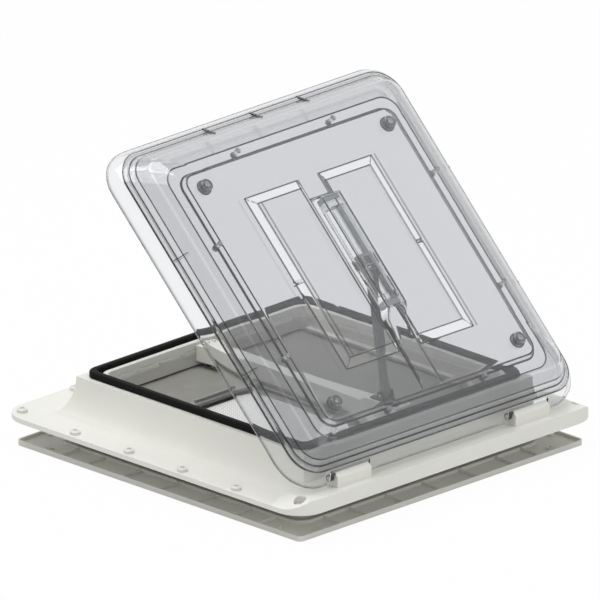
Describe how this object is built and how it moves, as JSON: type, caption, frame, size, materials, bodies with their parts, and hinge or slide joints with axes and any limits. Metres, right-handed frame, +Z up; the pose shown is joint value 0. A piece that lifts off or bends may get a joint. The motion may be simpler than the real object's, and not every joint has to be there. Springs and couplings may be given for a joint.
{
  "type": "caravan roof vent",
  "caption": "Square caravan roof vent with a clear double-skinned lid held open by a support arm in a rail, pull-out shades, fly screen and clamping inner frame.",
  "frame": {"origin": "middle of the underside of the inner frame", "axes": "+Z up out of the roof, X along the hinge axis, -Y towards the hinge side"},
  "size_m": [0.5, 0.5, 0.3949],
  "materials": {
    "abs_white": "satin",
    "abs_grey": "satin",
    "acrylic_outer": "gloss",
    "acrylic_inner": "gloss",
    "rubber_black": "matte",
    "nylon_grey": "matte",
    "nylon_dark": "matte",
    "steel_zinc": "satin",
    "shade_cloth": "matte",
    "screen_net": "matte",
    "tube_alu": "satin"
  },
  "bodies": {
    "frame": {"outer_frame": "abs_white", "lid_seal": "rubber_black", "flange_screws": "abs_white", "hinge_block_left": "abs_white", "hinge_block_right": "abs_white", "hinge_block_screws": "steel_zinc", "hinge_pins": "steel_zinc", "arm_foot_pin": "steel_zinc", "arm_bracket": "nylon_dark", "bracket_screws": "steel_zinc", "bridge": "abs_white", "bridge_screws": "steel_zinc", "wall_liner": "abs_grey", "inner_frame": "abs_grey", "screen_frame": "abs_grey", "fly_screen_net": "screen_net", "shade_guides": "abs_grey", "shade_cloth_left": "shade_cloth", "shade_cloth_right": "shade_cloth", "roller_brackets": "steel_zinc"},
    "lid": {"lid_hinge_eyes": "nylon_dark", "lid_outer_dome": "acrylic_outer", "lid_inner_pane": "acrylic_inner", "pane_bosses": "nylon_grey", "pane_screws": "nylon_grey", "pane_clips": "nylon_grey", "slide_rail": "nylon_grey", "rail_end_clips": "nylon_dark"},
    "arm": {"support_arm": "nylon_grey"},
    "slider": {"arm_slider": "nylon_grey", "arm_top_pin": "steel_zinc"},
    "latch": {"slider_latch": "nylon_dark"},
    "shade_left": {"pull_bar_left": "nylon_dark"},
    "shade_right": {"pull_bar_right": "nylon_dark"},
    "roller_body_left": {"roller_left": "tube_alu"},
    "roller_body_right": {"roller_right": "tube_alu"}
  },
  "joints": [
    {"name": "lid_hinge", "type": "hinge", "parent": "frame", "child": "lid", "pos_m": [0, -0.229, 0.065], "axis": [1, 0, 0], "range_deg": [-44.8, 10.2]},
    {"name": "arm_pivot", "type": "hinge", "parent": "frame", "child": "arm", "pos_m": [0, -0.14, 0.099], "axis": [1, 0, 0], "range_deg": [-75.3, 17.2]},
    {"name": "slider_pivot", "type": "hinge", "parent": "arm", "child": "slider", "pos_m": [0, -0.11779, 0.24816], "axis": [1, 0, 0], "range_deg": [-7, 30.5]},
    {"name": "latch_slide", "type": "slide", "parent": "slider", "child": "latch", "axis": [0, 0.7096, 0.7046], "range_m": [-0.003, 0], "stiffness_N_per_m": 200, "springref_m": 0.002},
    {"name": "shade_left_slide", "type": "slide", "parent": "frame", "child": "shade_left", "axis": [0, 1, 0], "range_m": [-0.218, 0.08]},
    {"name": "shade_right_slide", "type": "slide", "parent": "frame", "child": "shade_right", "axis": [0, 1, 0], "range_m": [0, 0.298]},
    {"name": "roller_left_turn", "type": "hinge", "parent": "frame", "child": "roller_body_left", "pos_m": [-0.0825, 0.173, 0.0537], "axis": [1, 0, 0], "range_deg": [-728, 1985]},
    {"name": "roller_right_turn", "type": "hinge", "parent": "frame", "child": "roller_body_right", "pos_m": [0.0825, 0.173, 0.0537], "axis": [1, 0, 0], "range_deg": [-2712, 10]}
  ],
  "couplings": [
    {"joint": "arm_pivot", "follows": "lid_hinge", "ratio": 1.68},
    {"joint": "slider_pivot", "follows": "lid_hinge", "ratio": -0.68},
    {"joint": "roller_left_turn", "follows": "shade_left_slide", "rad_per_m": -158.73},
    {"joint": "roller_right_turn", "follows": "shade_right_slide", "rad_per_m": -158.73}
  ]
}
